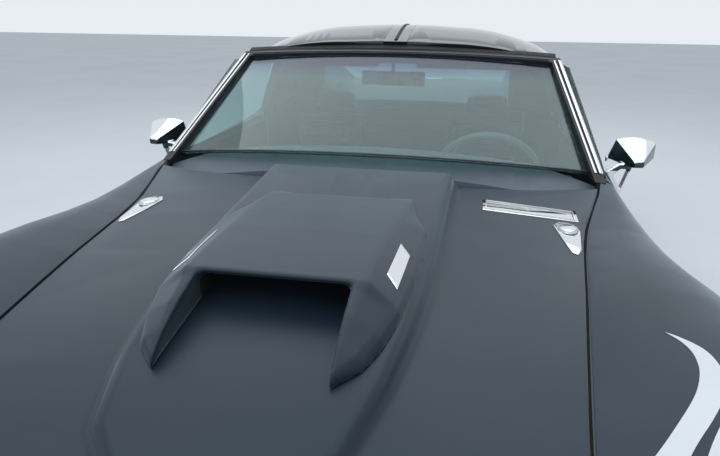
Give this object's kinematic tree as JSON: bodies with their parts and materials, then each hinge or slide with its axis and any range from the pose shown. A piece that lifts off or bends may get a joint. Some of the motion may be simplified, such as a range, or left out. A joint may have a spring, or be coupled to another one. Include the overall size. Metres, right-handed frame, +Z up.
{
  "type": "sports car",
  "caption": "Low two-seat sports coupe with a long scooped hood, lift-off roof panels, pop-up lamps, opening doors and steered, free-turning wheels.",
  "frame": {"origin": "on the ground under the middle of the car's length and width", "axes": "nose towards -Y, car's left (driver's) side towards +X, +Z up"},
  "size_m": [1.786, 4.704, 1.2152],
  "materials": {
    "body_paint": "satin black-grey, slightly dusty",
    "gloss_black": "gloss black lift-off roof panels",
    "cowl_black": "matte black",
    "chrome_trim": "polished",
    "tinted_glass": "blue-green tint",
    "chassis_black": "black chassis paint",
    "underbody": "coated underbody and carpeted floor",
    "trim_vinyl": "black grained vinyl",
    "seat_leather": "black leather",
    "cast_metal": "cast",
    "steel": "heat-stained steel",
    "lamp_glass": "moulded lenses",
    "tyre": "black tread rubber",
    "wheel_metal": "silver painted"
  },
  "bodies": {
    "root": {"bulkhead": "underbody", "cowl_panel": "cowl_black", "dash": "trim_vinyl", "engine": "cast_metal", "exhaust": "steel", "fender_left": "body_paint", "fender_right": "body_paint", "firewall": "underbody", "floor_tub": "underbody", "frame_rails": "chassis_black", "front_suspension": "chassis_black", "grille": "cowl_black", "header_panel": "body_paint", "lamps": "lamp_glass", "nose_cover": "body_paint", "rear_body": "body_paint", "rear_suspension": "chassis_black", "rear_window": "tinted_glass", "rockers": "cowl_black", "roof_frame": "body_paint", "roof_panels": "gloss_black", "seats": "seat_leather", "steering_column": "trim_vinyl", "tail_cover": "body_paint", "windscreen": "tinted_glass", "windscreen_frame": "cowl_black"},
    "hood": {"hood_panel": "body_paint", "hood_scoop": "body_paint", "hood_plates": "chrome_trim"},
    "door_left": {"door_left": "body_paint", "door_glass_left": "tinted_glass", "mirror_left": "chrome_trim"},
    "door_right": {"door_right": "body_paint", "door_glass_right": "tinted_glass", "mirror_right": "chrome_trim"},
    "lamp_pod_left": {"lamp_pod_left": "body_paint"},
    "lamp_pod_right": {"lamp_pod_right": "body_paint"},
    "knuckle_left": {"knuckle_left": "cast_metal"},
    "knuckle_right": {"knuckle_right": "cast_metal"},
    "steering_wheel": {"steering_wheel": "trim_vinyl"},
    "wheel_front_left": {"tyre_front_left": "tyre", "rim_front_left": "wheel_metal"},
    "wheel_front_right": {"tyre_front_right": "tyre", "rim_front_right": "wheel_metal"},
    "wheel_rear_left": {"tyre_rear_left": "tyre", "rim_rear_left": "wheel_metal"},
    "wheel_rear_right": {"tyre_rear_right": "tyre", "rim_rear_right": "wheel_metal"}
  },
  "joints": [
    {"name": "hood_hinge", "type": "hinge", "parent": "root", "child": "hood", "pos_m": [0, -1.883, 0.703], "axis": [1, 0, 0], "range_deg": [0, 50]},
    {"name": "door_left_hinge", "type": "hinge", "parent": "root", "child": "door_left", "pos_m": [0.785, -0.47, 0.505], "axis": [0, 0, -1], "range_deg": [0, 65]},
    {"name": "door_right_hinge", "type": "hinge", "parent": "root", "child": "door_right", "pos_m": [-0.785, -0.47, 0.505], "axis": [0, 0, 1], "range_deg": [0, 65]},
    {"name": "lamp_left_hinge", "type": "hinge", "parent": "root", "child": "lamp_pod_left", "pos_m": [0.494, -1.941, 0.696], "axis": [-1, 0, 0], "range_deg": [0, 45]},
    {"name": "lamp_right_hinge", "type": "hinge", "parent": "root", "child": "lamp_pod_right", "pos_m": [-0.494, -1.941, 0.696], "axis": [-1, 0, 0], "range_deg": [0, 45]},
    {"name": "steer_left", "type": "hinge", "parent": "root", "child": "knuckle_left", "pos_m": [0.668, -1.282, 0.34], "axis": [0, 0, 1], "range_deg": [-33, 33]},
    {"name": "steer_right", "type": "hinge", "parent": "root", "child": "knuckle_right", "pos_m": [-0.668, -1.282, 0.34], "axis": [0, 0, 1], "range_deg": [-33, 33]},
    {"name": "steering_wheel_turn", "type": "hinge", "parent": "root", "child": "steering_wheel", "pos_m": [0.353, -0.222, 0.722], "axis": [0, 0.9063, 0.4226], "range_deg": [-530, 530]},
    {"name": "wheel_front_left_spin", "type": "hinge", "parent": "knuckle_left", "child": "wheel_front_left", "pos_m": [0.738, -1.282, 0.34], "axis": [1, 0, 0], "continuous": true},
    {"name": "wheel_front_right_spin", "type": "hinge", "parent": "knuckle_right", "child": "wheel_front_right", "pos_m": [-0.738, -1.282, 0.34], "axis": [1, 0, 0], "continuous": true},
    {"name": "wheel_rear_left_spin", "type": "hinge", "parent": "root", "child": "wheel_rear_left", "pos_m": [0.736, 1.207, 0.34], "axis": [1, 0, 0], "continuous": true},
    {"name": "wheel_rear_right_spin", "type": "hinge", "parent": "root", "child": "wheel_rear_right", "pos_m": [-0.736, 1.207, 0.34], "axis": [1, 0, 0], "continuous": true}
  ],
  "couplings": [
    {"joint": "steer_right", "follows": "steer_left", "ratio": 1},
    {"joint": "steering_wheel_turn", "follows": "steer_left", "ratio": 16}
  ]
}
